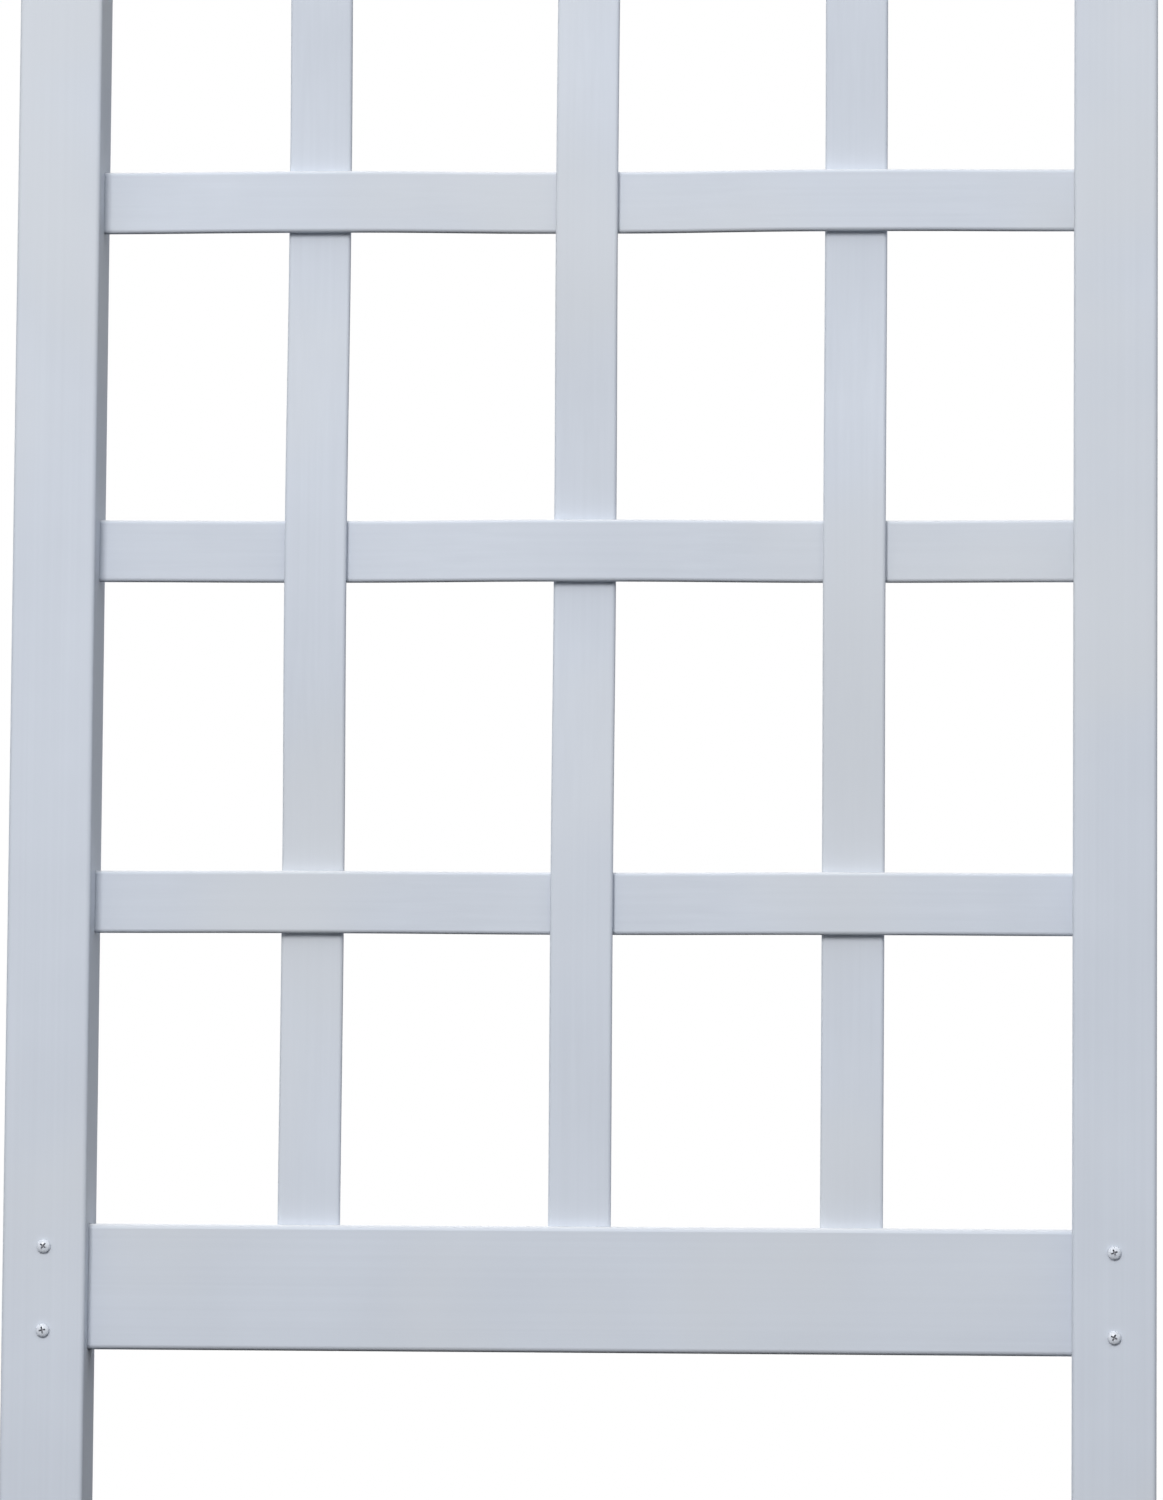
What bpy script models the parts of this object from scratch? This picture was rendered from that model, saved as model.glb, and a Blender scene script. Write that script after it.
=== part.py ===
"""A white vinyl garden trellis: two hollow posts, two hollow rails and a woven lattice of slats.

Metres, +Z up, +X to the right of someone facing the trellis, front towards -Y.
The origin lies on the ground, midway between the posts and midway through their depth.
"""
import math

import bmesh
import bpy

# Clearance between pieces that touch, and how far a cut runs past the wall that it goes through
FIT_GAP = 0.0003
CUT_OVERRUN = 0.002

# Points nearer than this are one point, and faces that meet at more than this angle keep a sharp edge
MERGE_DISTANCE = 0.00003
SHARP_ANGLE = math.radians(40)

# Lattice: how many slats, and the clear openings between them
VERTICAL_COUNT = 3
HORIZONTAL_COUNT = 6
SIDE_OPENING_WIDTH = 0.1143
MIDDLE_OPENING_WIDTH = 0.127
OPENING_HEIGHT = 0.1778

# Slats: flat strips with rounded edges, bent round each other where they cross
SLAT_WIDTH = 0.0381
SLAT_THICKNESS = 0.0064
SLAT_EDGE_RADIUS = 0.0024
SLAT_HOUSING = 0.012
SLAT_FLAT_PAST_CROSSING = 0.003
SLAT_EDGE_STEPS = 2
SLAT_BEND_STEPS = 4

# Posts: square tubes, open at the foot and closed by a cap at the top
POST_WIDTH = 0.0508
POST_WALL = 0.0022
POST_CORNER_RADIUS = 0.003
POST_INNER_CORNER_RADIUS = 0.001
LEG_HEIGHT = 0.2032
POST_ABOVE_RAIL = 0.05715

# Rails: rectangular tubes that run into both posts
RAIL_HEIGHT = 0.0762
RAIL_THICKNESS = 0.0222
RAIL_WALL = 0.0017
RAIL_CORNER_RADIUS = 0.003
RAIL_INNER_CORNER_RADIUS = 0.001
RAIL_PAST_SCREWS = 0.01
TUBE_CORNER_STEPS = 3

# Post caps: low pyramids on a lip, with a skirt that plugs into the post
CAP_OVERHANG = 0.0032
CAP_LIP_HEIGHT = 0.004
CAP_PYRAMID_HEIGHT = 0.01475
CAP_TIP_WIDTH = 0.003
CAP_TIP_RADIUS = 0.001
CAP_WALL = 0.002
CAP_SKIRT_DEPTH = 0.014

# Pan-head screws through the post's front wall and both walls of the rail, a little below its middle
SCREW_SPACING = 0.0508
SCREW_DROP = 0.0016
SCREW_SHANK_DIAMETER = 0.0042
SCREW_HEAD_DIAMETER = 0.0082
SCREW_HEAD_HEIGHT = 0.0029
SCREW_HEAD_RIM = 0.0009
SCREW_DOME_ANGLES = (math.radians(35), math.radians(65), math.radians(90))
SCREW_POINT_LENGTH = 0.0045
SCREW_TIP_DIAMETER = 0.0008
SCREW_RECESS_WIDTH = 0.0012
SCREW_RECESS_SPAN = 0.005
SCREW_RECESS_DEPTH = 0.0017
SCREW_SIDES = 16

# Widths and depths worked out from the sizes above
MIDDLE_PITCH = MIDDLE_OPENING_WIDTH + SLAT_WIDTH
OUTER_SLAT_X = (VERTICAL_COUNT - 1) / 2 * MIDDLE_PITCH
POST_INNER_X = OUTER_SLAT_X + SLAT_WIDTH / 2 + SIDE_OPENING_WIDTH
POST_X = POST_INNER_X + POST_WIDTH / 2
POST_CAVITY = POST_WIDTH - 2 * POST_WALL
RAIL_END_X = POST_X + RAIL_PAST_SCREWS
WEAVE_OFFSET = (SLAT_THICKNESS + FIT_GAP) / 2
SCREW_SEAT_Y = -POST_WIDTH / 2 - FIT_GAP
SCREW_SHANK_LENGTH = RAIL_THICKNESS / 2 - SCREW_SEAT_Y

# Heights worked out from the sizes above
ROW_PITCH = OPENING_HEIGHT + SLAT_WIDTH
BOTTOM_RAIL_Z = LEG_HEIGHT + RAIL_HEIGHT / 2
LATTICE_BOTTOM_Z = LEG_HEIGHT + RAIL_HEIGHT
LATTICE_TOP_Z = LATTICE_BOTTOM_Z + OPENING_HEIGHT + HORIZONTAL_COUNT * ROW_PITCH
TOP_RAIL_Z = LATTICE_TOP_Z + RAIL_HEIGHT / 2
POST_TOP_Z = LATTICE_TOP_Z + RAIL_HEIGHT + POST_ABOVE_RAIL

COLUMN_X = [column * MIDDLE_PITCH - OUTER_SLAT_X for column in range(VERTICAL_COUNT)]
FIRST_ROW_Z = LATTICE_BOTTOM_Z + OPENING_HEIGHT + SLAT_WIDTH / 2
ROW_Z = [FIRST_ROW_Z + row * ROW_PITCH for row in range(HORIZONTAL_COUNT)]
LOWER_SCREW_OFFSET = -SCREW_DROP - SCREW_SPACING / 2
UPPER_SCREW_OFFSET = -SCREW_DROP + SCREW_SPACING / 2
SCREW_Z = {
    "bottom_lower": BOTTOM_RAIL_Z + LOWER_SCREW_OFFSET,
    "bottom_upper": BOTTOM_RAIL_Z + UPPER_SCREW_OFFSET,
    "top_lower": TOP_RAIL_Z + LOWER_SCREW_OFFSET,
    "top_upper": TOP_RAIL_Z + UPPER_SCREW_OFFSET,
}
SIDES = {"left": -1, "right": 1}


def make_material(name, color, roughness, metallic):
    material = bpy.data.materials.new(name)
    material.use_nodes = True
    shader = material.node_tree.nodes["Principled BSDF"]
    shader.inputs["Base Color"].default_value = (*color, 1)
    shader.inputs["Roughness"].default_value = roughness
    shader.inputs["Metallic"].default_value = metallic
    return material


def rounded_rectangle(width, height, radius, steps):
    """Corner arcs of a rounded rectangle round the origin, counter-clockwise."""
    points = []
    for corner, (side_x, side_y) in enumerate(((1, 1), (-1, 1), (-1, -1), (1, -1))):
        for step in range(steps + 1):
            angle = (corner + step / steps) * math.pi / 2
            x = side_x * (width / 2 - radius) + radius * math.cos(angle)
            y = side_y * (height / 2 - radius) + radius * math.sin(angle)
            points.append((x, y))
    return points


def along_z(outline, z):
    """Places a flat outline level, at the height z."""
    return [(x, y, z) for x, y in outline]


def along_x(outline, x):
    """Stands a flat outline upright across X: its width lies along Y and its height along Z."""
    return [(x, y, z) for y, z in outline]


def add_ring(bm, points):
    return [bm.verts.new(point) for point in points]


def join_rings(bm, first, second):
    """Adds the faces between two rings, corner to matching corner."""
    for i in range(len(first)):
        bm.faces.new((first[i - 1], first[i], second[i], second[i - 1]))


def finish_mesh(bm, name):
    """Turns every face outward and shades the round parts smooth."""
    bmesh.ops.recalc_face_normals(bm, faces=bm.faces[:])
    if bm.calc_volume(signed=True) < 0:
        bmesh.ops.reverse_faces(bm, faces=bm.faces[:])
    mesh = bpy.data.meshes.new(name)
    bm.to_mesh(mesh)
    bm.free()
    mesh.shade_smooth()
    mesh.set_sharp_from_angle(angle=SHARP_ANGLE)
    return mesh


def swept_mesh(name, outline, moves):
    """A solid drawn from a closed outline through one move after another."""
    bm = bmesh.new()
    face = bm.faces.new(add_ring(bm, outline))
    for move in moves:
        end = [face, *face.edges, *face.verts]
        drawn = bmesh.ops.extrude_face_region(bm, geom=end)["geom"]
        face = next(item for item in drawn if isinstance(item, bmesh.types.BMFace))
        bmesh.ops.translate(bm, verts=face.verts[:], vec=move)
    return finish_mesh(bm, name)


def tube_mesh(name, outer, inner, move):
    """A tube drawn in one move from the ring between two outlines, open at both ends."""
    bm = bmesh.new()
    join_rings(bm, add_ring(bm, outer), add_ring(bm, inner))
    drawn = bmesh.ops.extrude_face_region(bm, geom=bm.faces[:])["geom"]
    far_verts = [item for item in drawn if isinstance(item, bmesh.types.BMVert)]
    bmesh.ops.translate(bm, verts=far_verts, vec=move)
    return finish_mesh(bm, name)


def stacked_mesh(name, outlines):
    """A solid through a stack of outlines, closed at the first and the last."""
    bm = bmesh.new()
    rings = [add_ring(bm, outline) for outline in outlines]
    for lower, upper in zip(rings, rings[1:]):
        join_rings(bm, lower, upper)
    bm.faces.new(rings[0])
    bm.faces.new(rings[-1])
    return finish_mesh(bm, name)


def turned_mesh(name, profile, sides):
    """A solid turned about Z from a profile of (radius, z) that starts and ends on the axis."""
    bm = bmesh.new()
    verts = [bm.verts.new((radius, 0, z)) for radius, z in profile]
    edges = [bm.edges.new(pair) for pair in zip(verts, verts[1:])]
    bmesh.ops.spin(
        bm,
        geom=verts + edges,
        cent=(0, 0, 0),
        axis=(0, 0, 1),
        dvec=(0, 0, 0),
        angle=math.tau,
        steps=sides,
        use_merge=True,
    )
    bmesh.ops.remove_doubles(bm, verts=bm.verts[:], dist=MERGE_DISTANCE)
    return finish_mesh(bm, name)


def add_piece(name, mesh, material, location=(0, 0, 0), rotation=(0, 0, 0)):
    piece = bpy.data.objects.new(name, mesh)
    piece.location = location
    piece.rotation_euler = rotation
    if not mesh.materials:
        mesh.materials.append(material)
    bpy.context.scene.collection.objects.link(piece)
    return piece


def add_cutter(collection, name, mesh, location=(0, 0, 0), rotation=(0, 0, 0)):
    """A wire guide that only cuts its neighbours."""
    cutter = bpy.data.objects.new(name, mesh)
    cutter.location = location
    cutter.rotation_euler = rotation
    cutter.hide_render = True
    cutter.display_type = "WIRE"
    collection.objects.link(cutter)
    return cutter


def cutter_set(name):
    collection = bpy.data.collections.new(name)
    bpy.context.scene.collection.children.link(collection)
    return collection


def cut_by(piece, collection):
    modifier = piece.modifiers.new("cuts", "BOOLEAN")
    modifier.operation = "DIFFERENCE"
    modifier.solver = "EXACT"
    modifier.operand_type = "COLLECTION"
    modifier.collection = collection


def slat_outline(grow):
    """A slat's cross-section, grown on every side by the given gap."""
    return rounded_rectangle(
        SLAT_THICKNESS + 2 * grow,
        SLAT_WIDTH + 2 * grow,
        SLAT_EDGE_RADIUS + grow,
        SLAT_EDGE_STEPS,
    )


def rail_outline(grow):
    """A rail's outer cross-section, grown on every side by the given gap."""
    return rounded_rectangle(
        RAIL_THICKNESS + 2 * grow,
        RAIL_HEIGHT + 2 * grow,
        RAIL_CORNER_RADIUS + grow,
        TUBE_CORNER_STEPS,
    )


def slat_route(start, crossings, end, housing):
    """Stations (distance along, offset in depth) of a slat from one housing to the other.

    start and end are the faces that the slat goes into. crossings holds (distance, offset)
    for each slat that it passes. The slat lies flat there and bends smoothly in between.
    """
    half_flat = SLAT_WIDTH / 2 + SLAT_FLAT_PAST_CROSSING
    flats = [(start - housing, start, 0)]
    flats += [(place - half_flat, place + half_flat, offset) for place, offset in crossings]
    flats += [(end, end + housing, 0)]
    route = [(flats[0][0], flats[0][2])]
    for (_, bend_start, offset), (bend_end, _, next_offset) in zip(flats, flats[1:]):
        for step in range(SLAT_BEND_STEPS + 1):
            share = step / SLAT_BEND_STEPS
            blend_share = (1 - math.cos(share * math.pi)) / 2
            place = bend_start + share * (bend_end - bend_start)
            route.append((place, offset + blend_share * (next_offset - offset)))
    route.append((flats[-1][1], flats[-1][2]))
    return route


def slat_mesh(name, route):
    """A slat drawn along X through the stations of its route."""
    moves = [
        (there[0] - here[0], there[1] - here[1], 0)
        for here, there in zip(route, route[1:])
    ]
    return swept_mesh(name, along_x(slat_outline(0), route[0][0]), moves)


def crosses_in_front(column, row):
    """True where the horizontal slat passes in front of the vertical one."""
    return (column + row) % 2 == 0


def add_horizontal_slat(row, material):
    crossings = []
    for column, x in enumerate(COLUMN_X):
        offset = -WEAVE_OFFSET if crosses_in_front(column, row) else WEAVE_OFFSET
        crossings.append((x, offset))
    route = slat_route(-POST_INNER_X, crossings, POST_INNER_X, POST_WALL + SLAT_HOUSING)
    name = f"horizontal_slat_{row + 1}"
    add_piece(name, slat_mesh(name, route), material, (0, 0, ROW_Z[row]))


def add_vertical_slat(column, material):
    crossings = []
    for row, z in enumerate(ROW_Z):
        offset = WEAVE_OFFSET if crosses_in_front(column, row) else -WEAVE_OFFSET
        crossings.append((z, offset))
    route = slat_route(LATTICE_BOTTOM_Z, crossings, LATTICE_TOP_Z, RAIL_WALL + SLAT_HOUSING)
    name = f"vertical_slat_{column + 1}"
    upright = (0, -math.pi / 2, 0)
    add_piece(name, slat_mesh(name, route), material, (COLUMN_X[column], 0, 0), upright)


def screw_hole_mesh(length):
    """A round cutter along +Y for a screw's shank."""
    radius = SCREW_SHANK_DIAMETER / 2 + FIT_GAP
    outline = []
    for side in range(SCREW_SIDES):
        angle = side * math.tau / SCREW_SIDES
        outline.append((radius * math.cos(angle), 0, radius * math.sin(angle)))
    return swept_mesh("screw_hole", outline, [(0, length, 0)])


def post_cutters(side_name, side):
    """Slots for the slats and rails in the post's inner wall, and its screw holes."""
    cutters = cutter_set(f"{side_name}_post_cutters")
    depth = POST_WALL + 2 * CUT_OVERRUN
    slot_x = side * (POST_INNER_X + POST_WALL / 2) - depth / 2
    slat_slot = swept_mesh("slat_slot", along_x(slat_outline(FIT_GAP), 0), [(depth, 0, 0)])
    rail_slot = swept_mesh("rail_slot", along_x(rail_outline(FIT_GAP), 0), [(depth, 0, 0)])
    screw_hole = screw_hole_mesh(depth)
    for row, z in enumerate(ROW_Z):
        add_cutter(cutters, f"{side_name}_slat_slot_{row + 1}", slat_slot, (slot_x, 0, z))
    for rail_name, z in (("bottom", BOTTOM_RAIL_Z), ("top", TOP_RAIL_Z)):
        add_cutter(cutters, f"{side_name}_{rail_name}_rail_slot", rail_slot, (slot_x, 0, z))
    for screw_name, z in SCREW_Z.items():
        place = (side * POST_X, -POST_WIDTH / 2 - CUT_OVERRUN, z)
        add_cutter(cutters, f"{side_name}_{screw_name}_post_hole", screw_hole, place)
    return cutters


def add_post(side_name, side, material):
    outer = rounded_rectangle(POST_WIDTH, POST_WIDTH, POST_CORNER_RADIUS, TUBE_CORNER_STEPS)
    inner = rounded_rectangle(
        POST_CAVITY, POST_CAVITY, POST_INNER_CORNER_RADIUS, TUBE_CORNER_STEPS
    )
    name = f"{side_name}_post"
    mesh = tube_mesh(name, along_z(outer, 0), along_z(inner, 0), (0, 0, POST_TOP_Z))
    post = add_piece(name, mesh, material, (side * POST_X, 0, 0))
    cut_by(post, post_cutters(side_name, side))


def add_post_cap(side_name, side, material):
    """A cap drawn as a stack of squares, from the tip outside to the tip inside."""
    lip = POST_WIDTH + 2 * CAP_OVERHANG
    skirt = POST_CAVITY - 2 * FIT_GAP
    bore = skirt - 2 * CAP_WALL
    lip_top = CAP_LIP_HEIGHT
    tip_top = lip_top + CAP_PYRAMID_HEIGHT
    lip_radius = POST_CORNER_RADIUS + CAP_OVERHANG / 2
    bore_share = (lip - bore) / (lip - CAP_TIP_WIDTH)
    bore_top = lip_top + bore_share * CAP_PYRAMID_HEIGHT - CAP_WALL
    squares = (
        (CAP_TIP_WIDTH, CAP_TIP_RADIUS, tip_top),
        (lip, lip_radius, lip_top),
        (lip, lip_radius, 0),
        (skirt, POST_INNER_CORNER_RADIUS, 0),
        (skirt, POST_INNER_CORNER_RADIUS, -CAP_SKIRT_DEPTH),
        (bore, POST_INNER_CORNER_RADIUS, -CAP_SKIRT_DEPTH),
        (bore, POST_INNER_CORNER_RADIUS, bore_top),
        (CAP_TIP_WIDTH, CAP_TIP_RADIUS, tip_top - CAP_WALL),
    )
    outlines = []
    for width, radius, z in squares:
        outlines.append(along_z(rounded_rectangle(width, width, radius, TUBE_CORNER_STEPS), z))
    name = f"{side_name}_post_cap"
    add_piece(name, stacked_mesh(name, outlines), material, (side * POST_X, 0, POST_TOP_Z + FIT_GAP))


def rail_cutters(rail_name, z, slotted_side):
    """Slots for the vertical slats in the rail's inward edge, and its screw holes."""
    cutters = cutter_set(f"{rail_name}_rail_cutters")
    depth = RAIL_WALL + 2 * CUT_OVERRUN
    slot_z = z + slotted_side * (RAIL_HEIGHT - RAIL_WALL) / 2 - depth / 2
    slat_slot = swept_mesh("slat_slot", along_x(slat_outline(FIT_GAP), 0), [(depth, 0, 0)])
    screw_hole = screw_hole_mesh(RAIL_THICKNESS + 2 * CUT_OVERRUN)
    upright = (0, -math.pi / 2, 0)
    for column, x in enumerate(COLUMN_X):
        name = f"{rail_name}_rail_slat_slot_{column + 1}"
        add_cutter(cutters, name, slat_slot, (x, 0, slot_z), upright)
    for side_name, side in SIDES.items():
        for level, offset in (("lower", LOWER_SCREW_OFFSET), ("upper", UPPER_SCREW_OFFSET)):
            place = (side * POST_X, -RAIL_THICKNESS / 2 - CUT_OVERRUN, z + offset)
            add_cutter(cutters, f"{side_name}_{rail_name}_{level}_rail_hole", screw_hole, place)
    return cutters


def add_rail(rail_name, z, slotted_side, material):
    inner = rounded_rectangle(
        RAIL_THICKNESS - 2 * RAIL_WALL,
        RAIL_HEIGHT - 2 * RAIL_WALL,
        RAIL_INNER_CORNER_RADIUS,
        TUBE_CORNER_STEPS,
    )
    name = f"{rail_name}_rail"
    outer_ring = along_x(rail_outline(0), -RAIL_END_X)
    inner_ring = along_x(inner, -RAIL_END_X)
    mesh = tube_mesh(name, outer_ring, inner_ring, (2 * RAIL_END_X, 0, 0))
    rail = add_piece(name, mesh, material, (0, 0, z))
    cut_by(rail, rail_cutters(rail_name, z, slotted_side))


def screw_mesh():
    """A pan-head screw along Z: its head's underside at zero, its point downwards."""
    head_radius = SCREW_HEAD_DIAMETER / 2
    shank_radius = SCREW_SHANK_DIAMETER / 2
    dome_rise = SCREW_HEAD_HEIGHT - SCREW_HEAD_RIM
    profile = [(0, SCREW_HEAD_HEIGHT)]
    for angle in SCREW_DOME_ANGLES:
        height = SCREW_HEAD_RIM + dome_rise * math.cos(angle)
        profile.append((head_radius * math.sin(angle), height))
    profile += [
        (head_radius, 0),
        (shank_radius, 0),
        (shank_radius, -SCREW_SHANK_LENGTH),
        (SCREW_TIP_DIAMETER / 2, -SCREW_SHANK_LENGTH - SCREW_POINT_LENGTH),
        (0, -SCREW_SHANK_LENGTH - SCREW_POINT_LENGTH),
    ]
    return turned_mesh("pan_head_screw", profile, SCREW_SIDES)


def recess_mesh():
    """A cross-shaped cutter that sinks from above the head's top into it."""
    half_span = SCREW_RECESS_SPAN / 2
    half_width = SCREW_RECESS_WIDTH / 2
    arm = [(half_width, half_span), (-half_width, half_span), (-half_width, half_width)]
    cross = []
    for quarter in range(4):
        angle = quarter * math.pi / 2
        for x, y in arm:
            turned_x = x * math.cos(angle) - y * math.sin(angle)
            turned_y = x * math.sin(angle) + y * math.cos(angle)
            cross.append((turned_x, turned_y))
    floor = SCREW_HEAD_HEIGHT - SCREW_RECESS_DEPTH
    rise = SCREW_RECESS_DEPTH + CUT_OVERRUN
    return swept_mesh("screw_recess", along_z(cross, floor), [(0, 0, rise)])


def add_screws(material):
    mesh = screw_mesh()
    recess = recess_mesh()
    head_forward = (math.pi / 2, 0, 0)
    for side_name, side in SIDES.items():
        for screw_name, z in SCREW_Z.items():
            name = f"{side_name}_{screw_name}_screw"
            place = (side * POST_X, SCREW_SEAT_Y, z)
            screw = add_piece(name, mesh, material, place, head_forward)
            cutters = cutter_set(f"{name}_cutters")
            add_cutter(cutters, f"{name}_recess", recess, place, head_forward)
            cut_by(screw, cutters)


def main():
    for old in list(bpy.data.objects):
        bpy.data.objects.remove(old)
    vinyl = make_material("white_vinyl", (0.6, 0.64, 0.71), 0.42, 0)
    cap_vinyl = make_material("white_cap_vinyl", (0.62, 0.66, 0.73), 0.38, 0)
    screw_paint = make_material("white_screw_paint", (0.6, 0.64, 0.7), 0.35, 0.2)
    for side_name, side in SIDES.items():
        add_post(side_name, side, vinyl)
        add_post_cap(side_name, side, cap_vinyl)
    add_rail("bottom", BOTTOM_RAIL_Z, 1, vinyl)
    add_rail("top", TOP_RAIL_Z, -1, vinyl)
    for row in range(HORIZONTAL_COUNT):
        add_horizontal_slat(row, vinyl)
    for column in range(VERTICAL_COUNT):
        add_vertical_slat(column, vinyl)
    add_screws(screw_paint)


main()
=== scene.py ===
"""The looks of a white vinyl garden trellis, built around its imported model.

Metres, in the model's own frame: +Z up, +X to the right, the front towards -Y.
"""

import math

import bmesh
import bpy
from mathutils import Matrix, Vector


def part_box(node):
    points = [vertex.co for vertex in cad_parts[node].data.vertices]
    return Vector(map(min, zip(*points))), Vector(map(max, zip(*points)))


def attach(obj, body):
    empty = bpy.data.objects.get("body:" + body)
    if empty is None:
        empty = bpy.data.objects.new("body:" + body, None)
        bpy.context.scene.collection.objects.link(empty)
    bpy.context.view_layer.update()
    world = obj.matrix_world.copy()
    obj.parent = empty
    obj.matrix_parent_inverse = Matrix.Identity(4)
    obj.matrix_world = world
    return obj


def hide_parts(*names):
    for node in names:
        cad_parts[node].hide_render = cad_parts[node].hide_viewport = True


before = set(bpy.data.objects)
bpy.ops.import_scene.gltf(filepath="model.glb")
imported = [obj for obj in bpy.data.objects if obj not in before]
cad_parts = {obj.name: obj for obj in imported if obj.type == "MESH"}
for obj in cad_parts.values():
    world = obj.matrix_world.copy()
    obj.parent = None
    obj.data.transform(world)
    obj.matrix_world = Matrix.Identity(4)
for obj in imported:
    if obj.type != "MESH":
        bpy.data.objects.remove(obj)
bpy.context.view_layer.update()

# Photograph's frame and the camera that took it
FRAME_LONG_SIDE_PIXELS = 1500
FOCAL_LENGTH_PIXELS = 7435.8
SENSOR_WIDTH_MM = 36
CAMERA_PLACE = (0.3148, -4.5108, 0.1706)
CAMERA_YAW = -0.0699
CAMERA_PITCH = 0.0881
CAMERA_ROLL = 0.0079

# Clearance between pieces that touch, and the cleaning, rounding and shading of meshes
FIT_GAP = 0.0003
MERGE_DISTANCE = 0.00001
FLAT_ANGLE = math.radians(1)
SHARP_ANGLE = math.radians(40)
ROUND_PROFILE = 0.5
OWN_MATERIAL = -1

# Axes by their number
X_AXIS = 0
Z_AXIS = 2

# Slats: flat strips with rounded edges, bent round each other where they cross
SLAT_THICKNESS = 0.0064
SLAT_EDGE_RADIUS = 0.0024
SLAT_EDGE_SEGMENTS = 5
SLAT_FLAT_PAST_CROSSING = 0.003
SLAT_BEND_STEPS = 14
SLAT_HOUSING = 0.012

# Walls of the posts and rails, and the shallow dent that each screw pulls into a post
POST_WALL = 0.0022
RAIL_WALL = 0.0017
DENT_DEPTH = 0.0004
DENT_RADIUS = 0.0075
DENT_CUTS = 5
DENT_CUT_SPACING = 0.0025

# Post caps: low pyramids on a lip, with a skirt that plugs into the post
CAP_LIP_HEIGHT = 0.004
CAP_PYRAMID_HEIGHT = 0.01475
CAP_TIP_WIDTH = 0.003
CAP_WALL = 0.002
CAP_SKIRT_DEPTH = 0.014
CAP_CORNER_RADIUS = 0.0046
CAP_EDGE_RADIUS = 0.0009
CAP_RIDGE_SEGMENTS = 5
CAP_EDGE_SEGMENTS = 3

# Painted pan-head screws
SCREW_HEAD_DIAMETER = 0.0082
SCREW_HEAD_HEIGHT = 0.0029
SCREW_HEAD_RIM = 0.0008
SCREW_SHANK_DIAMETER = 0.0042
SCREW_POINT_LENGTH = 0.0045
SCREW_TIP_DIAMETER = 0.0008
SCREW_DOME_STEPS = 7
SCREW_SIDES = 40
RECESS_WIDTH = 0.0012
RECESS_SPAN = 0.005
RECESS_DEPTH = 0.0019
RECESS_TAPER_SHARE = 0.45
RECESS_MATERIAL_INDEX = 1
SCREW_TURNS_DEGREES = (12, 55, 31, 78, 64, 20, 43, 5)

# Colours of the vinyl, of the paint on the screws and of the shade painted in their recesses
VINYL_LIGHT = (0.640, 0.680, 0.750, 1)
VINYL_SHADE = (0.565, 0.602, 0.668, 1)
VINYL_YELLOWED = (0.625, 0.648, 0.680, 1)
# A paler colour painted on surfaces that face up: a painted highlight
VINYL_PAINTED_HIGHLIGHT = (0.700, 0.710, 0.728, 1)
PAINT_LIGHT = (0.680, 0.715, 0.775, 1)
PAINT_WORN = (0.360, 0.375, 0.395, 1)
# Painted shade in the screws' recesses, its pale and its deep colour
RECESS_SHADE_PALE = (0.430, 0.442, 0.480, 1)
RECESS_SHADE_DEEP = (0.240, 0.248, 0.280, 1)

# Gloss of the vinyl, the caps, the paint and the recesses
VINYL_ROUGHNESS = 0.5
VINYL_SPECULAR_LEVEL = 0.02
CAP_ROUGHNESS = 0.44
PAINT_ROUGHNESS = 0.32
RECESS_ROUGHNESS = 0.75

# Noise patterns: the detail of soft, plain and ragged ones, and the middle of their values
SOFT_DETAIL = 2
PLAIN_DETAIL = 3
RAGGED_DETAIL = 4
PATTERN_MIDDLE = 0.5

# Vinyl: the size of its die lines, mottling, yellowing and grain, and how much each one shows,
# with the highlight painted on surfaces that face up
DIE_LINES_PER_METRE = 320
DIE_LINE_STRETCH_SHARE = 0.006
MOTTLES_PER_METRE = 11
YELLOWED_PATCHES_PER_METRE = 4
GRAIN_PER_METRE = 1500
PEEL_PER_METRE = 500
CAP_MOTTLES_PER_METRE = 44
LINE_TONE_SHARE = 0.7
MOTTLE_TONE_SHARE = 1.1
YELLOWED_SHARE = 0.6
YELLOWED_START_SHARE = 0.45
YELLOWED_FULL_SHARE = 0.65
# How much of the painted highlight shows, and the upward share at which it starts and is full
PAINTED_HIGHLIGHT_SHARE = 0.8
PAINTED_HIGHLIGHT_START_SHARE = 0.3
PAINTED_HIGHLIGHT_FULL_SHARE = 0.95
MOTTLE_ROUGHNESS_SHARE = 0.16
LINE_ROUGHNESS_SHARE = 0.1
LINE_HEIGHT = 0.00004
GRAIN_HEIGHT = 0.00002
PEEL_HEIGHT = 0.00006

# Paint: the size of its chips, how much of it they take and how deep they go
CHIPS_PER_METRE = 900
CHIP_START_SHARE = 0.62
CHIP_FULL_SHARE = 0.7
CHIP_METALLIC_SHARE = 0.7
CHIP_ROUGHNESS_SHARE = 0.15
CHIP_DEPTH = 0.00003

# Studio: a lamp in front, one overhead, one behind, a soft sky and a pale floor.
# A lamp is its place, its width and height, its level and its colour, and faces the trellis.
OBJECT_CENTRE = (0, 0, 1)
LAMPS = {
    "front_lamp": ((-1.00, -5.30, 2.95), 1.3, 2.3, 0.622, (1, 0.985, 0.965)),
    "top_lamp": ((-1.20, -0.40, 8.80), 3.0, 3.0, 0.14, (0.97, 0.985, 1)),
    "back_lamp": ((-2.80, 6.40, 4.80), 4.0, 3.0, 0.74, (0.97, 0.985, 1)),
}
SKY_ABOVE = (0.62, 0.645, 0.68, 1)
SKY_BELOW = (0.165, 0.17, 0.175, 1)
SKY_BLEND_START = -0.3
SKY_BLEND_END = 0.4
SKY_RISE_TO_THE_RIGHT_SHARE = 0.05
SKY_FALL_TO_THE_BACK_SHARE = 0.5
WHITE = (1, 1, 1, 1)
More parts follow.
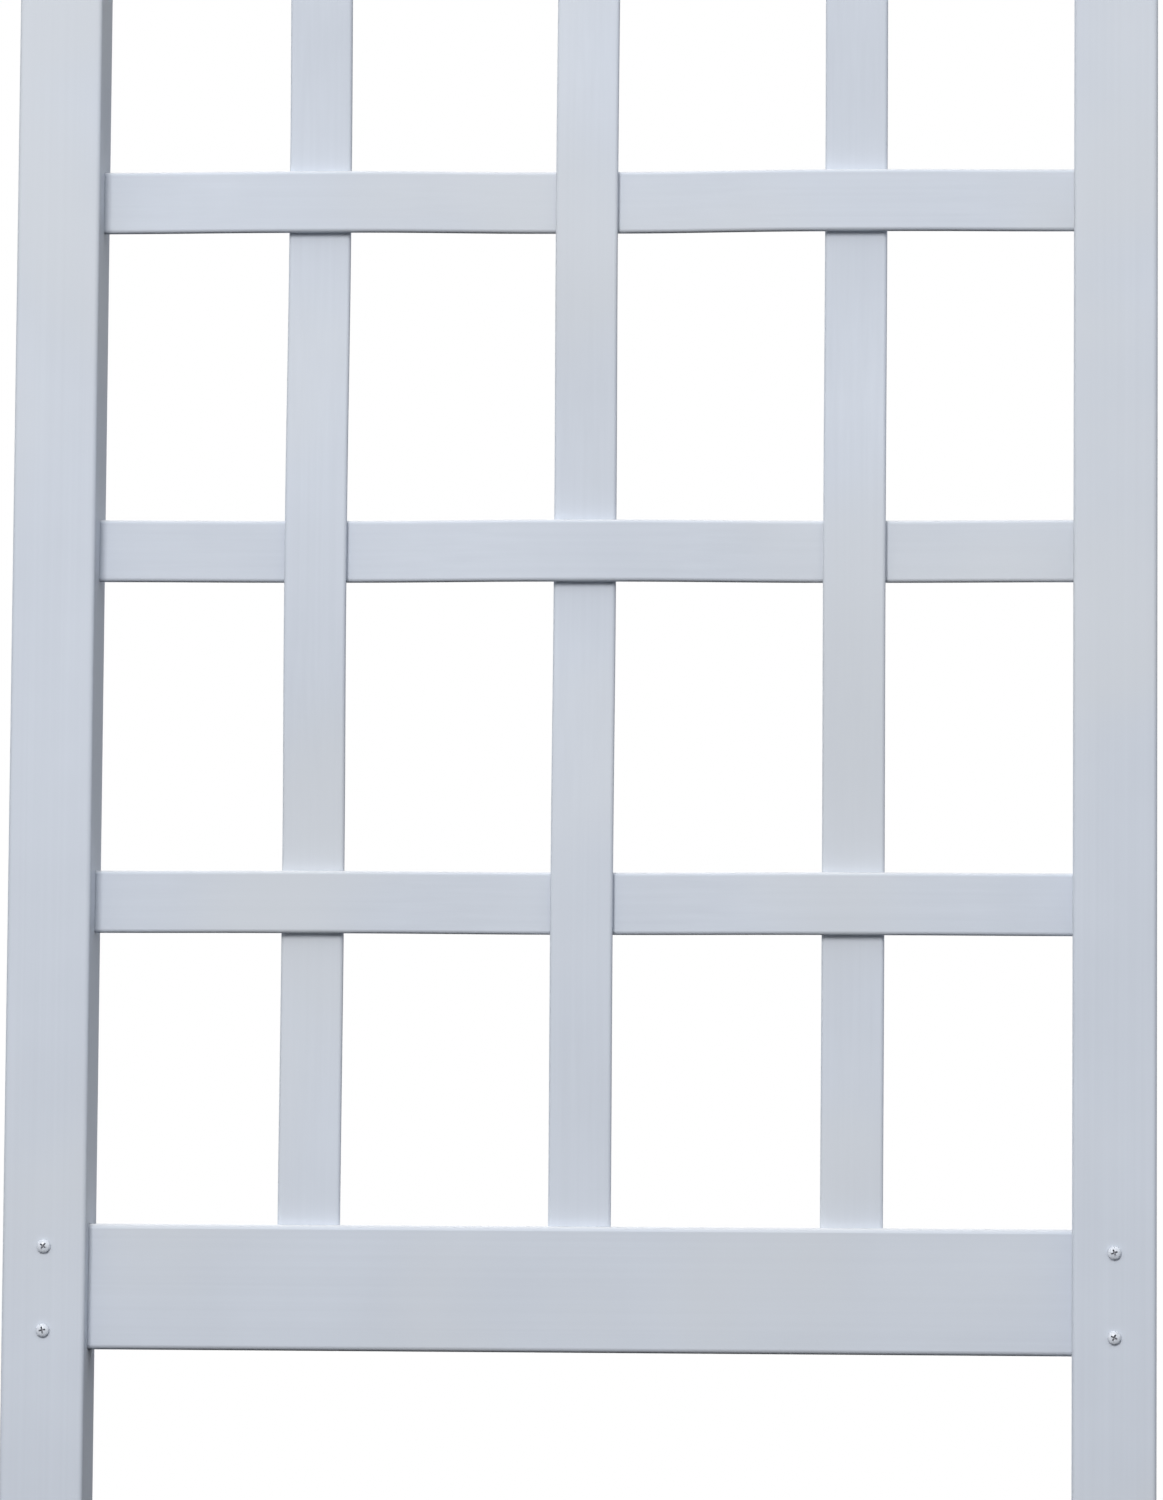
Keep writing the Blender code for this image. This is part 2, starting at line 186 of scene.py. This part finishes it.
FLOOR_RADIUS = 3
FLOOR_SIDES = 96
FLOOR_FADE_START = 1.1
FLOOR_FADE_END = 2.7
FLOOR_COLOR = (0.60, 0.60, 0.60, 1)
FLOOR_BOUNCE_COLOR = (0.02, 0.02, 0.02, 1)

# Sockets of Blender's Mix node for colours, and of its Math and Mix Shader nodes
MIX_COLOR_A = 6
MIX_COLOR_B = 7
MIX_COLOR_RESULT = 2
FIRST = 0
SECOND = 1
THIRD = 2


class Wire:
    """A shader socket. Sums, differences and products with numbers or wires add Math nodes."""

    def __init__(self, tree, socket=None):
        self.tree = tree
        self.socket = socket

    def node(self, kind, settings, values, output=0):
        """Adds a node: its settings first, then the values or wires of its sockets."""
        node = self.tree.nodes.new(kind)
        for name, value in settings.items():
            setattr(node, name, value)
        for name, value in values.items():
            if isinstance(value, Wire):
                self.tree.links.new(value.socket, node.inputs[name])
            else:
                node.inputs[name].default_value = value
        return Wire(self.tree, node.outputs[output])

    def math(self, operation, first, second):
        values = {FIRST: first, SECOND: second}
        return self.node("ShaderNodeMath", {"operation": operation}, values)

    def __add__(self, other):
        return self.math("ADD", self, other)

    def __sub__(self, other):
        return self.math("SUBTRACT", self, other)

    def __mul__(self, other):
        return self.math("MULTIPLY", self, other)

    __radd__ = __add__


def mixed_color(factor, first, second):
    return factor.node(
        "ShaderNodeMix",
        {"data_type": "RGBA"},
        {FIRST: factor, MIX_COLOR_A: first, MIX_COLOR_B: second},
        MIX_COLOR_RESULT,
    )


def ramp(value, low, high):
    """Rises smoothly from 0 where value is low to 1 where it is high."""
    return value.node(
        "ShaderNodeMapRange",
        {"interpolation_type": "SMOOTHSTEP"},
        {"Value": value, "From Min": low, "From Max": high},
    )


def noise(place, scale, detail):
    values = {"Vector": place, "Scale": scale, "Detail": detail}
    return place.node("ShaderNodeTexNoise", {}, values)


def new_material(name):
    """A material that has no nodes yet, and the wire that its nodes start from."""
    material = bpy.data.materials.new(name)
    material.use_nodes = True
    material.node_tree.nodes.clear()
    return material, Wire(material.node_tree)


def set_surface(start, shader, kind="ShaderNodeOutputMaterial"):
    output = start.tree.nodes.new(kind)
    start.tree.links.new(shader.socket, output.inputs["Surface"])


def place_on_object(start):
    return start.node("ShaderNodeTexCoord", {}, {}, "Object")


def upward(start):
    """The share by which the surface faces up: -1 down, 1 up."""
    normal = start.node("ShaderNodeNewGeometry", {}, {}, "Normal")
    return start.node("ShaderNodeSeparateXYZ", {}, {"Vector": normal}, "Z")


def varied(pattern, share):
    """The pattern as a value that runs evenly below and above zero."""
    return (pattern - PATTERN_MIDDLE) * share


def yellowed_with_painted_highlight(start, place, vinyl):
    """The vinyl's colour, yellowed in wide faint patches, and made paler where it faces up: a
    painted highlight on top faces and top edges.
    """
    pattern = noise(place, YELLOWED_PATCHES_PER_METRE, SOFT_DETAIL)
    patches = ramp(pattern, YELLOWED_START_SHARE, YELLOWED_FULL_SHARE)
    yellowed = mixed_color(patches * YELLOWED_SHARE, vinyl, VINYL_YELLOWED)
    # Painted highlight: paler the more the surface faces up
    facing_sky = ramp(upward(start), PAINTED_HIGHLIGHT_START_SHARE, PAINTED_HIGHLIGHT_FULL_SHARE)
    return mixed_color(facing_sky * PAINTED_HIGHLIGHT_SHARE, yellowed, VINYL_PAINTED_HIGHLIGHT)


def relief(start, height):
    """Bumps of the given height in metres."""
    return start.node("ShaderNodeBump", {}, {"Height": height, "Distance": 1})


def set_vinyl(start, color, roughness, height):
    sockets = {
        "Base Color": color,
        "Roughness": roughness,
        "Specular IOR Level": VINYL_SPECULAR_LEVEL,
        "Normal": relief(start, height),
    }
    set_surface(start, start.node("ShaderNodeBsdfPrincipled", {}, sockets))


def extruded_vinyl(name, run_axis):
    """White vinyl drawn through a die: lines along run_axis, soft mottling and a fine grain."""
    material, start = new_material(name)
    place = place_on_object(start)
    stretch = [1, 1, 1]
    stretch[run_axis] = DIE_LINE_STRETCH_SHARE
    drawn = start.node("ShaderNodeMapping", {}, {"Vector": place, "Scale": stretch})
    die_lines = noise(drawn, DIE_LINES_PER_METRE, PLAIN_DETAIL)
    mottle = noise(place, MOTTLES_PER_METRE, PLAIN_DETAIL)
    grain = noise(place, GRAIN_PER_METRE, SOFT_DETAIL)
    tone = PATTERN_MIDDLE + varied(die_lines, LINE_TONE_SHARE) + varied(mottle, MOTTLE_TONE_SHARE)
    color = yellowed_with_painted_highlight(start, place, mixed_color(tone, VINYL_SHADE, VINYL_LIGHT))
    roughness = VINYL_ROUGHNESS + varied(mottle, MOTTLE_ROUGHNESS_SHARE)
    roughness = roughness + varied(die_lines, LINE_ROUGHNESS_SHARE)
    set_vinyl(start, color, roughness, die_lines * LINE_HEIGHT + grain * GRAIN_HEIGHT)
    return material


def moulded_vinyl(name):
    """White vinyl from a mould: no drawn lines, a slight orange peel and a little more gloss."""
    material, start = new_material(name)
    place = place_on_object(start)
    mottle = noise(place, CAP_MOTTLES_PER_METRE, PLAIN_DETAIL)
    peel = noise(place, PEEL_PER_METRE, SOFT_DETAIL)
    color = yellowed_with_painted_highlight(start, place, mixed_color(mottle, VINYL_SHADE, VINYL_LIGHT))
    roughness = CAP_ROUGHNESS + varied(mottle, MOTTLE_ROUGHNESS_SHARE)
    set_vinyl(start, color, roughness, peel * PEEL_HEIGHT)
    return material


def painted_steel(name):
    """White paint on steel, chipped here and there where a driver has slipped."""
    material, start = new_material(name)
    place = place_on_object(start)
    pattern = noise(place, CHIPS_PER_METRE, RAGGED_DETAIL)
    chips = ramp(pattern, CHIP_START_SHARE, CHIP_FULL_SHARE)
    peel = noise(place, GRAIN_PER_METRE, SOFT_DETAIL)
    roughness = PAINT_ROUGHNESS + chips * CHIP_ROUGHNESS_SHARE
    sockets = {
        "Base Color": mixed_color(chips, PAINT_LIGHT, PAINT_WORN),
        "Metallic": chips * CHIP_METALLIC_SHARE,
        "Roughness": roughness + varied(peel, LINE_ROUGHNESS_SHARE),
        "Normal": relief(start, peel * GRAIN_HEIGHT - chips * CHIP_DEPTH),
    }
    set_surface(start, start.node("ShaderNodeBsdfPrincipled", {}, sockets))
    return material


def painted_recess_shade(name):
    """Painted shade in a screw's recess: a dark colour in clumps, with the roughness and bumps of
    packed dirt.
    """
    material, start = new_material(name)
    place = place_on_object(start)
    clumps = noise(place, CHIPS_PER_METRE, RAGGED_DETAIL)
    sockets = {
        "Base Color": mixed_color(clumps, RECESS_SHADE_DEEP, RECESS_SHADE_PALE),
        "Roughness": RECESS_ROUGHNESS + varied(clumps, MOTTLE_ROUGHNESS_SHARE),
        "Normal": relief(start, clumps * PEEL_HEIGHT),
    }
    set_surface(start, start.node("ShaderNodeBsdfPrincipled", {}, sockets))
    return material


def object_of(name, bm, materials):
    mesh = bpy.data.meshes.new(name)
    bm.to_mesh(mesh)
    bm.free()
    for material in materials:
        mesh.materials.append(material)
    made = bpy.data.objects.new(name, mesh)
    bpy.context.scene.collection.objects.link(made)
    return made


def add_piece(name, bm, materials, stands_for):
    """Turns the mesh into a piece in the place of a node, smooth up to its sharp edges."""
    piece = object_of(name, bm, materials)
    piece.data.shade_smooth()
    piece.data.set_sharp_from_angle(angle=SHARP_ANGLE)
    even_shading = piece.modifiers.new("even_shading", "WEIGHTED_NORMAL")
    even_shading.keep_sharp = True
    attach(piece, "root")
    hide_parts(stands_for)


def cut_planes(bm, axis, places):
    """Cuts the mesh through, square to the axis, at each place along it."""
    normal = Vector((0, 0, 0))
    normal[axis] = 1
    for place in places:
        geometry = bm.verts[:] + bm.edges[:] + bm.faces[:]
        bmesh.ops.bisect_plane(
            bm, geom=geometry, dist=MERGE_DISTANCE, plane_co=normal * place, plane_no=normal
        )


def add_square(bm, width):
    bmesh.ops.create_grid(bm, x_segments=1, y_segments=1, size=width / 2)


def round_off(bm, geometry, affect, radius, segments):
    bmesh.ops.bevel(
        bm,
        geom=geometry,
        affect=affect,
        offset=radius,
        segments=segments,
        profile=ROUND_PROFILE,
        material=OWN_MATERIAL,
    )


def drawn_out(bm, face):
    """Adds walls round a face and gives the face at their far end, still in its old place."""
    drawn = bmesh.ops.extrude_face_region(bm, geom=[face, *face.edges, *face.verts])["geom"]
    return next(item for item in drawn if isinstance(item, bmesh.types.BMFace))


def drawn_on(bm, face, rise, share):
    """Draws a face on by rise, and shrinks its far end to a share of its width."""
    far = drawn_out(bm, face)
    bmesh.ops.translate(bm, verts=far.verts[:], vec=(0, 0, rise))
    bmesh.ops.scale(bm, verts=far.verts[:], vec=(share, share, 1))
    return far


def merged_copy(node):
    """A node's own mesh as one skin, with its flat faces whole."""
    bm = bmesh.new()
    bm.from_mesh(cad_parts[node].data)
    bmesh.ops.remove_doubles(bm, verts=bm.verts[:], dist=MERGE_DISTANCE)
    bmesh.ops.dissolve_limit(
        bm,
        angle_limit=FLAT_ANGLE,
        verts=bm.verts[:],
        edges=bm.edges[:],
        use_dissolve_boundaries=False,
    )
    return bm


def nodes_with(word):
    return sorted(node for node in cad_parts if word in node)


def centre_of(node):
    low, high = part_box(node)
    return (low + high) / 2


def dent_round_screws(bm, screws):
    """Sinks the front wall a little round each screw."""
    steps = [step * DENT_CUT_SPACING for step in range(-DENT_CUTS, DENT_CUTS + 1)]
    cut_planes(bm, X_AXIS, [screws[0].x + step for step in steps])
    for screw in screws:
        cut_planes(bm, Z_AXIS, [screw.z + step for step in steps])
    bmesh.ops.dissolve_degenerate(bm, dist=MERGE_DISTANCE, edges=bm.edges[:])
    front = min(vert.co.y for vert in bm.verts)
    for vert in bm.verts:
        if vert.co.y > front + POST_WALL + FIT_GAP:
            continue
        for screw in screws:
            away = math.hypot(vert.co.x - screw.x, vert.co.z - screw.z)
            vert.co.y += DENT_DEPTH * math.exp(-((away / DENT_RADIUS) ** 2))


def add_post(side, material):
    bm = merged_copy(f"{side}_post")
    screws = [centre_of(node) for node in nodes_with("_screw") if node.startswith(side)]
    dent_round_screws(bm, screws)
    add_piece(f"{side}_post_tube", bm, [material], f"{side}_post")


def add_rail(level, material):
    bm = merged_copy(f"{level}_rail")
    add_piece(f"{level}_rail_tube", bm, [material], f"{level}_rail")


def slat_route(start, crossings, end, wall, width):
    """Stations (distance along, offset in depth) of a slat from one housing to the other.

    Its ends go through the wall at start and at end. The slat lies flat where it passes
    another one, and bends smoothly in between.
    """
    housing = wall + SLAT_HOUSING
    half_flat = width / 2 + SLAT_FLAT_PAST_CROSSING
    flats = [(start - housing, start, 0)]
    flats += [(place - half_flat, place + half_flat, offset) for place, offset in crossings]
    flats += [(end, end + housing, 0)]
    route = [(flats[0][0], flats[0][2])]
    for (_, bend_start, offset), (bend_end, _, next_offset) in zip(flats, flats[1:]):
        for step in range(SLAT_BEND_STEPS + 1):
            share = step / SLAT_BEND_STEPS
            blend_share = (1 - math.cos(share * math.pi)) / 2
            place = bend_start + share * (bend_end - bend_start)
            route.append((place, offset + blend_share * (next_offset - offset)))
    route.append((flats[-1][1], flats[-1][2]))
    return route


def slat_mesh(width, route):
    """A slat along X: a rounded cross-section drawn through the stations of its route."""
    bm = bmesh.new()
    add_square(bm, width)
    bmesh.ops.scale(bm, vec=(SLAT_THICKNESS / width, 1, 1), verts=bm.verts[:])
    round_off(bm, bm.verts[:], "VERTICES", SLAT_EDGE_RADIUS, SLAT_EDGE_SEGMENTS)
    stand_across_x = Matrix(((0, 0, 1), (1, 0, 0), (0, 1, 0)))
    bmesh.ops.rotate(bm, matrix=stand_across_x, verts=bm.verts[:])
    bmesh.ops.translate(bm, vec=(route[0][0], route[0][1], 0), verts=bm.verts[:])
    face = bm.faces[:][0]
    for here, there in zip(route, route[1:]):
        face = drawn_out(bm, face)
        move = (there[0] - here[0], there[1] - here[1], 0)
        bmesh.ops.translate(bm, verts=face.verts[:], vec=move)
    bmesh.ops.recalc_face_normals(bm, faces=bm.faces[:])
    return bm


def level_slat_depth(row, column):
    """How far a horizontal slat lies behind the lattice's middle where it crosses a column.

    It passes in front of every other column, and the next row does so at the columns between.
    """
    offset = (SLAT_THICKNESS + FIT_GAP) / 2
    in_front = (row + column) % 2 == 0
    return -offset if in_front else offset


def add_slats(level_material, upright_material):
    post_faces = [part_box("left_post")[1].x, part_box("right_post")[0].x]
    rail_faces = [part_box("bottom_rail")[1].z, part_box("top_rail")[0].z]
    level_slats = nodes_with("horizontal_slat")
    upright_slats = nodes_with("vertical_slat")
    rows = [centre_of(node).z for node in level_slats]
    columns = [centre_of(node).x for node in upright_slats]
    low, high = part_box(level_slats[0])
    width = high.z - low.z
    for row, node in enumerate(level_slats):
        crossings = [(x, level_slat_depth(row, column)) for column, x in enumerate(columns)]
        route = slat_route(post_faces[0], crossings, post_faces[1], POST_WALL, width)
        bm = slat_mesh(width, route)
        bmesh.ops.translate(bm, vec=(0, 0, rows[row]), verts=bm.verts[:])
        add_piece(f"{node}_strip", bm, [level_material], node)
    stand_up = Matrix.Rotation(-math.pi / 2, 3, "Y")
    for column, node in enumerate(upright_slats):
        crossings = [(z, -level_slat_depth(row, column)) for row, z in enumerate(rows)]
        route = slat_route(rail_faces[0], crossings, rail_faces[1], RAIL_WALL, width)
        bm = slat_mesh(width, route)
        bmesh.ops.rotate(bm, matrix=stand_up, verts=bm.verts[:])
        bmesh.ops.translate(bm, vec=(columns[column], 0, 0), verts=bm.verts[:])
        add_piece(f"{node}_strip", bm, [upright_material], node)


def draw_skirt(bm, under, lip, skirt):
    """Draws a cap's skirt down from under its lip, and the skirt's bore up into the pyramid."""
    bore = skirt - 2 * CAP_WALL
    skirt_ring = drawn_on(bm, under, 0, skirt / lip)
    skirt_end = drawn_on(bm, skirt_ring, -CAP_SKIRT_DEPTH, 1)
    bore_ring = drawn_on(bm, skirt_end, 0, bore / skirt)
    # The share of its height at which the pyramid is as wide as the bore
    bore_share = (lip - bore) / (lip - CAP_TIP_WIDTH)
    bore_top = CAP_LIP_HEIGHT + bore_share * CAP_PYRAMID_HEIGHT - CAP_WALL
    bore_end = drawn_on(bm, bore_ring, CAP_SKIRT_DEPTH + bore_top, 1)
    inner_tip_rise = (1 - bore_share) * CAP_PYRAMID_HEIGHT
    drawn_on(bm, bore_end, inner_tip_rise, CAP_TIP_WIDTH / bore)


def add_cap(side, material):
    """A cap drawn up from its lip to the tip, and down from the lip into the post."""
    low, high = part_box(f"{side}_post_cap")
    post_low, post_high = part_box(f"{side}_post")
    lip = high.x - low.x
    skirt = post_high.x - post_low.x - 2 * POST_WALL - 2 * FIT_GAP
    bm = bmesh.new()
    add_square(bm, lip)
    round_off(bm, bm.verts[:], "VERTICES", CAP_CORNER_RADIUS, CAP_RIDGE_SEGMENTS)
    under = bm.faces[:][0]
    lip_top = drawn_on(bm, under, CAP_LIP_HEIGHT, 1)
    tip = drawn_on(bm, lip_top, CAP_PYRAMID_HEIGHT, CAP_TIP_WIDTH / lip)
    lip_edges = [edge for edge in bm.edges if edge.verts[0].co.z == edge.verts[1].co.z]
    rounded = [edge for edge in lip_edges if tip not in edge.link_faces]
    bmesh.ops.recalc_face_normals(bm, faces=bm.faces[:])
    draw_skirt(bm, under, lip, skirt)
    round_off(bm, rounded, "EDGES", CAP_EDGE_RADIUS, CAP_EDGE_SEGMENTS)
    bmesh.ops.recalc_face_normals(bm, faces=bm.faces[:])
    place = ((low.x + high.x) / 2, 0, post_high.z + FIT_GAP)
    bmesh.ops.translate(bm, vec=place, verts=bm.verts[:])
    add_piece(f"{side}_cap_moulding", bm, [material], f"{side}_post_cap")


def screw_shape(shank_length):
    """A pan-head screw along Z: its head's underside at zero, its point downwards."""
    head_radius = SCREW_HEAD_DIAMETER / 2
    shank_radius = SCREW_SHANK_DIAMETER / 2
    dome_rise = SCREW_HEAD_HEIGHT - SCREW_HEAD_RIM
    profile = []
    for step in range(SCREW_DOME_STEPS + 1):
        angle = step / SCREW_DOME_STEPS * math.pi / 2
        height = SCREW_HEAD_RIM + dome_rise * math.cos(angle)
        profile.append((head_radius * math.sin(angle), height))
    profile += [
        (head_radius, 0),
        (shank_radius, 0),
        (shank_radius, -shank_length),
        (SCREW_TIP_DIAMETER / 2, -shank_length - SCREW_POINT_LENGTH),
        (0, -shank_length - SCREW_POINT_LENGTH),
    ]
    bm = bmesh.new()
    verts = [bm.verts.new((radius, 0, z)) for radius, z in profile]
    edges = [bm.edges.new(pair) for pair in zip(verts, verts[1:])]
    bmesh.ops.spin(
        bm,
        geom=verts + edges,
        cent=(0, 0, 0),
        axis=(0, 0, 1),
        dvec=(0, 0, 0),
        angle=math.tau,
        steps=SCREW_SIDES,
        use_merge=True,
    )
    bmesh.ops.remove_doubles(bm, verts=bm.verts[:], dist=MERGE_DISTANCE)
    bmesh.ops.recalc_face_normals(bm, faces=bm.faces[:])
    return bm


def recess_shape():
    """A cross that narrows downwards, standing in the head from above its top."""
    bm = bmesh.new()
    add_square(bm, RECESS_WIDTH)
    arm = (RECESS_SPAN - RECESS_WIDTH) / 2
    for edge in bm.edges[:]:
        middle = (edge.verts[0].co + edge.verts[1].co) / 2
        drawn = bmesh.ops.extrude_edge_only(bm, edges=[edge])["geom"]
        ends = [item for item in drawn if isinstance(item, bmesh.types.BMVert)]
        bmesh.ops.translate(bm, verts=ends, vec=middle.normalized() * arm)
    bmesh.ops.translate(bm, vec=(0, 0, SCREW_HEAD_HEIGHT + FIT_GAP), verts=bm.verts[:])
    drawn = bmesh.ops.extrude_face_region(bm, geom=bm.faces[:])["geom"]
    floor = [item for item in drawn if isinstance(item, bmesh.types.BMVert)]
    bmesh.ops.translate(bm, verts=floor, vec=(0, 0, -RECESS_DEPTH - FIT_GAP))
    taper = (RECESS_TAPER_SHARE, RECESS_TAPER_SHARE, 1)
    bmesh.ops.scale(bm, verts=floor, vec=taper)
    bmesh.ops.recalc_face_normals(bm, faces=bm.faces[:])
    return bm


def recessed_screw_mesh(shank_length, materials):
    """The screw with its cross cut in. The walls of the cut take the second material, the painted
    shade.
    """
    cutter = recess_shape()
    for face in cutter.faces:
        face.material_index = RECESS_MATERIAL_INDEX
    screw = object_of("screw_blank", screw_shape(shank_length), materials)
    cross = object_of("recess_cutter", cutter, materials)
    cut = screw.modifiers.new("recess", "BOOLEAN")
    cut.operation = "DIFFERENCE"
    cut.solver = "EXACT"
    cut.object = cross
    graph = bpy.context.evaluated_depsgraph_get()
    mesh = bpy.data.meshes.new_from_object(screw.evaluated_get(graph))
    bpy.data.objects.remove(screw)
    bpy.data.objects.remove(cross)
    bm = bmesh.new()
    bm.from_mesh(mesh)
    bmesh.ops.dissolve_degenerate(bm, dist=MERGE_DISTANCE, edges=bm.edges[:])
    bm.to_mesh(mesh)
    bm.free()
    return mesh


def add_screws(materials):
    nodes = nodes_with("_screw")
    low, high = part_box(nodes[0])
    length = high.y - low.y - SCREW_HEAD_HEIGHT - SCREW_POINT_LENGTH
    mesh = recessed_screw_mesh(length, materials)
    head_forward = Matrix.Rotation(math.pi / 2, 4, "X")
    for node, degrees in zip(nodes, SCREW_TURNS_DEGREES):
        low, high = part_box(node)
        place = Vector(((low.x + high.x) / 2, low.y + SCREW_HEAD_HEIGHT, (low.z + high.z) / 2))
        turn = Matrix.Rotation(math.radians(degrees), 4, "Z")
        bm = bmesh.new()
        bm.from_mesh(mesh)
        bm.transform(Matrix.Translation(place) @ head_forward @ turn)
        add_piece(f"{node}_painted", bm, materials, node)


def add_lamp(name, place, width, height, level, color):
    """A lamp under which a matte surface that faces it renders at level times its colour."""
    data = bpy.data.lights.new(name, "AREA")
    data.shape = "RECTANGLE"
    data.size = width
    data.size_y = height
    away = Vector(place) - Vector(OBJECT_CENTRE)
    data.energy = level * math.pi ** 2 * away.length ** 2
    data.color = color
    lamp = bpy.data.objects.new(name, data)
    lamp.location = place
    lamp.rotation_euler = away.to_track_quat("Z", "Y").to_euler()
    bpy.context.scene.collection.objects.link(lamp)


def seen_ray(start):
    """1 for a ray from the camera, or one that a glossy or clear surface sends on."""
    camera = start.node("ShaderNodeLightPath", {}, {}, "Is Camera Ray")
    glossy = start.node("ShaderNodeLightPath", {}, {}, "Is Glossy Ray")
    through = start.node("ShaderNodeLightPath", {}, {}, "Is Transmission Ray")
    return start.math("MAXIMUM", camera, start.math("MAXIMUM", glossy, through))


def add_world():
    """A soft sky that lights the trellis, seen as plain white."""
    world = bpy.data.worlds.new("studio_sky")
    world.use_nodes = True
    world.node_tree.nodes.clear()
    bpy.context.scene.world = world
    start = Wire(world.node_tree)
    direction = start.node("ShaderNodeTexCoord", {}, {}, "Generated")
    right, back, up = (
        start.node("ShaderNodeSeparateXYZ", {}, {"Vector": direction}, axis) for axis in "XYZ"
    )
    sky = mixed_color(ramp(up, SKY_BLEND_START, SKY_BLEND_END), SKY_BELOW, SKY_ABOVE)
    strength = 1 + right * SKY_RISE_TO_THE_RIGHT_SHARE - back * SKY_FALL_TO_THE_BACK_SHARE
    light = start.node("ShaderNodeBackground", {}, {"Color": sky, "Strength": strength})
    backdrop = start.node("ShaderNodeBackground", {}, {"Color": WHITE})
    both = start.node(
        "ShaderNodeMixShader", {}, {FIRST: seen_ray(start), SECOND: light, THIRD: backdrop}
    )
    set_surface(start, both, "ShaderNodeOutputWorld")


def floor_material():
    """A pale matt floor that fades into the white backdrop away from the trellis."""
    material, start = new_material("pale_floor")
    place = place_on_object(start)
    away = start.node("ShaderNodeVectorMath", {"operation": "LENGTH"}, {"Vector": place}, "Value")
    pale = start.node("ShaderNodeBsdfDiffuse", {}, {"Color": FLOOR_COLOR})
    white = start.node("ShaderNodeEmission", {}, {"Color": WHITE})
    fade = ramp(away, FLOOR_FADE_START, FLOOR_FADE_END)
    seen = start.node("ShaderNodeMixShader", {}, {FIRST: fade, SECOND: pale, THIRD: white})
    bounce = start.node("ShaderNodeBsdfDiffuse", {}, {"Color": FLOOR_BOUNCE_COLOR})
    both = start.node(
        "ShaderNodeMixShader", {}, {FIRST: seen_ray(start), SECOND: bounce, THIRD: seen}
    )
    set_surface(start, both)
    return material


def add_floor():
    bm = bmesh.new()
    bmesh.ops.create_circle(bm, cap_ends=True, segments=FLOOR_SIDES, radius=FLOOR_RADIUS)
    bmesh.ops.translate(bm, vec=(0, 0, -FIT_GAP), verts=bm.verts[:])
    floor = object_of("floor", bm, [floor_material()])


def add_camera():
    data = bpy.data.cameras.new("camera")
    data.sensor_width = SENSOR_WIDTH_MM
    data.lens = FOCAL_LENGTH_PIXELS / FRAME_LONG_SIDE_PIXELS * SENSOR_WIDTH_MM
    camera = bpy.data.objects.new("camera", data)
    yaw = Matrix.Rotation(-CAMERA_YAW, 4, "Z")
    pitch = Matrix.Rotation(math.pi / 2 + CAMERA_PITCH, 4, "X")
    roll = Matrix.Rotation(CAMERA_ROLL, 4, "Z")
    camera.matrix_world = Matrix.Translation(CAMERA_PLACE) @ yaw @ pitch @ roll
    bpy.context.scene.collection.objects.link(camera)
    bpy.context.scene.camera = camera


def main():
    add_camera()
    upright_vinyl = extruded_vinyl("upright_vinyl", Z_AXIS)
    level_vinyl = extruded_vinyl("level_vinyl", X_AXIS)
    cap_vinyl = moulded_vinyl("cap_vinyl")
    # The second finish paints shade into the screws' recesses
    screw_finishes = [painted_steel("screw_paint"), painted_recess_shade("recess_painted_shade")]
    for side in ("left", "right"):
        add_post(side, upright_vinyl)
        add_cap(side, cap_vinyl)
    for level in ("bottom", "top"):
        add_rail(level, level_vinyl)
    add_slats(level_vinyl, upright_vinyl)
    add_screws(screw_finishes)
    for name, lamp in LAMPS.items():
        add_lamp(name, *lamp)
    add_world()
    add_floor()
    bpy.context.scene.view_settings.view_transform = "Standard"


main()
